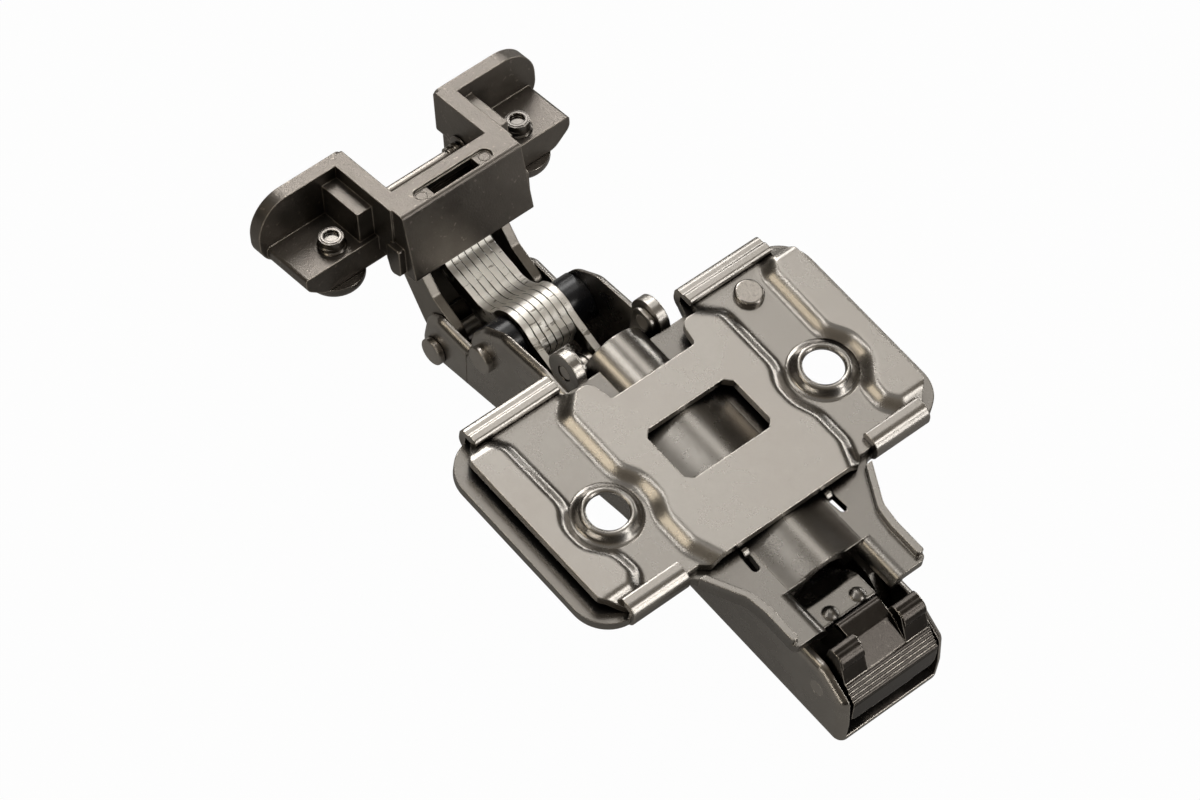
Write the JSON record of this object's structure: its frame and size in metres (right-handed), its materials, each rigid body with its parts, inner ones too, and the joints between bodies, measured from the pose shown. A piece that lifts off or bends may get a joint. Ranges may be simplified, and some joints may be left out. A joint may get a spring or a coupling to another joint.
{
  "type": "concealed cabinet hinge",
  "caption": "Clip-on concealed cabinet hinge with a wing-shaped mounting plate, a straight channel arm, stacked link plates and a narrow block that clamps to a door frame.",
  "frame": {"origin": "midway between the two screw holes of the mounting plate, on the face that lies on the cabinet side", "axes": "+Z out of the mounting face into the cabinet side, +X along the arm towards its release lever, +Y along the line of the two screws"},
  "size_m": [0.0901, 0.0518, 0.0231],
  "materials": {
    "plate_nickel": "satin nickel plate",
    "inner_steel": "satin nickel plate",
    "link_steel": "bright, lightly pitted",
    "cast_bronze_grey": "dark plated die casting with worn edges",
    "dark_nickel": "black nickel",
    "bright_steel": "polished",
    "fastener": "satin",
    "black_plastic": "glossy black"
  },
  "bodies": {
    "mount": {"slide_plate": "plate_nickel"},
    "height_cam": {"height_cam": "fastener"},
    "base": {"base_plate": "plate_nickel"},
    "carriage": {"carriage": "inner_steel", "hook_pin_right": "fastener", "hook_pin_left": "fastener", "damper_body": "black_plastic"},
    "side_screw": {"side_screw": "fastener"},
    "depth_cam": {"depth_cam": "fastener"},
    "arm": {"arm": "plate_nickel", "arm_pin_front": "fastener", "arm_pin_rear": "fastener", "lever_pin": "fastener", "bush_right": "black_plastic", "bush_left": "black_plastic", "closing_spring": "bright_steel", "spring_pin": "fastener"},
    "lever": {"clip_lever": "dark_nickel"},
    "outer": {"outer_link": "link_steel"},
    "inner": {"link_plate_1": "link_steel", "link_plate_2": "link_steel", "link_plate_3": "link_steel", "link_plate_4": "link_steel", "link_plate_5": "link_steel", "link_plate_6": "link_steel", "link_plate_7": "link_steel"},
    "block": {"door_block": "cast_bronze_grey", "block_pin_outer": "fastener", "block_pin_inner": "fastener", "guide_rod": "bright_steel"},
    "clamp_right": {"clamp_screw_right": "dark_nickel"},
    "clamp_left": {"clamp_screw_left": "dark_nickel"},
    "piston": {"damper_piston": "bright_steel"}
  },
  "joints": [
    {"name": "height_cam_turn", "type": "hinge", "parent": "mount", "child": "height_cam", "pos_m": [-0.0127, 0.01595, -0.0011], "axis": [0, 0, 1], "range_deg": [-50.2, 50.2]},
    {"name": "height_slide", "type": "slide", "parent": "mount", "child": "base", "axis": [0, 1, 0], "range_m": [-0.0015, 0.0015]},
    {"name": "side_screw_turn", "type": "hinge", "parent": "carriage", "child": "side_screw", "pos_m": [-0.008, -0.0002, -0.014], "axis": [0, 0, 1], "range_deg": [-361, 361]},
    {"name": "side_tilt", "type": "hinge", "parent": "base", "child": "carriage", "pos_m": [-0.01785, -0.0002, -0.0028], "axis": [0, 1, 0], "range_deg": [-1.2, 1.2]},
    {"name": "depth_cam_turn", "type": "hinge", "parent": "carriage", "child": "depth_cam", "pos_m": [0.006, -0.0002, -0.014], "axis": [0, 0, 1], "range_deg": [-50.2, 50.2]},
    {"name": "depth_slide", "type": "slide", "parent": "carriage", "child": "arm", "axis": [1, 0, 0], "range_m": [-0.0015, 0.0015]},
    {"name": "lever_press", "type": "hinge", "parent": "arm", "child": "lever", "pos_m": [0.0276, -0.0002, -0.0092], "axis": [0, 1, 0], "range_deg": [0, 10], "stiffness_Nm_per_rad": 0.03, "springref_deg": -14.32},
    {"name": "door_swing", "type": "hinge", "parent": "arm", "child": "outer", "pos_m": [-0.0372, -0.0002, -0.0206], "axis": [0, 1, 0], "range_deg": [-20.33, 6.6]},
    {"name": "block_turn", "type": "hinge", "parent": "outer", "child": "block", "pos_m": [-0.04551, -0.0002, -0.00692], "axis": [0, 1, 0], "range_deg": [-56.72, 18.45]},
    {"name": "inner_turn", "type": "hinge", "parent": "arm", "child": "inner", "pos_m": [-0.0295, -0.0002, -0.013], "axis": [0, 1, 0], "range_deg": [-1.74, 0.6]},
    {"name": "damper_push", "type": "slide", "parent": "carriage", "child": "piston", "axis": [1, 0, 0], "range_m": [-0.0012, 0.0034]},
    {"name": "clamp_screw_right_turn", "type": "hinge", "parent": "block", "child": "clamp_right", "pos_m": [-0.04935, 0.01372, -0.01139], "axis": [-0.225, 0, 0.9744], "range_deg": [-360, 360]},
    {"name": "clamp_screw_left_turn", "type": "hinge", "parent": "block", "child": "clamp_left", "pos_m": [-0.04935, -0.01412, -0.01139], "axis": [-0.225, 0, 0.9744], "range_deg": [-360, 360]}
  ],
  "couplings": [
    {"joint": "height_cam_turn", "follows": "height_slide", "rad_per_m": 582.4},
    {"joint": "side_screw_turn", "follows": "side_tilt", "ratio": 300},
    {"joint": "depth_cam_turn", "follows": "depth_slide", "rad_per_m": -582.4},
    {"joint": "block_turn", "follows": "door_swing", "ratio": 2.7879},
    {"joint": "inner_turn", "follows": "door_swing", "ratio": 0.083333},
    {"joint": "damper_push", "follows": "door_swing", "m_per_rad": -0.008}
  ]
}
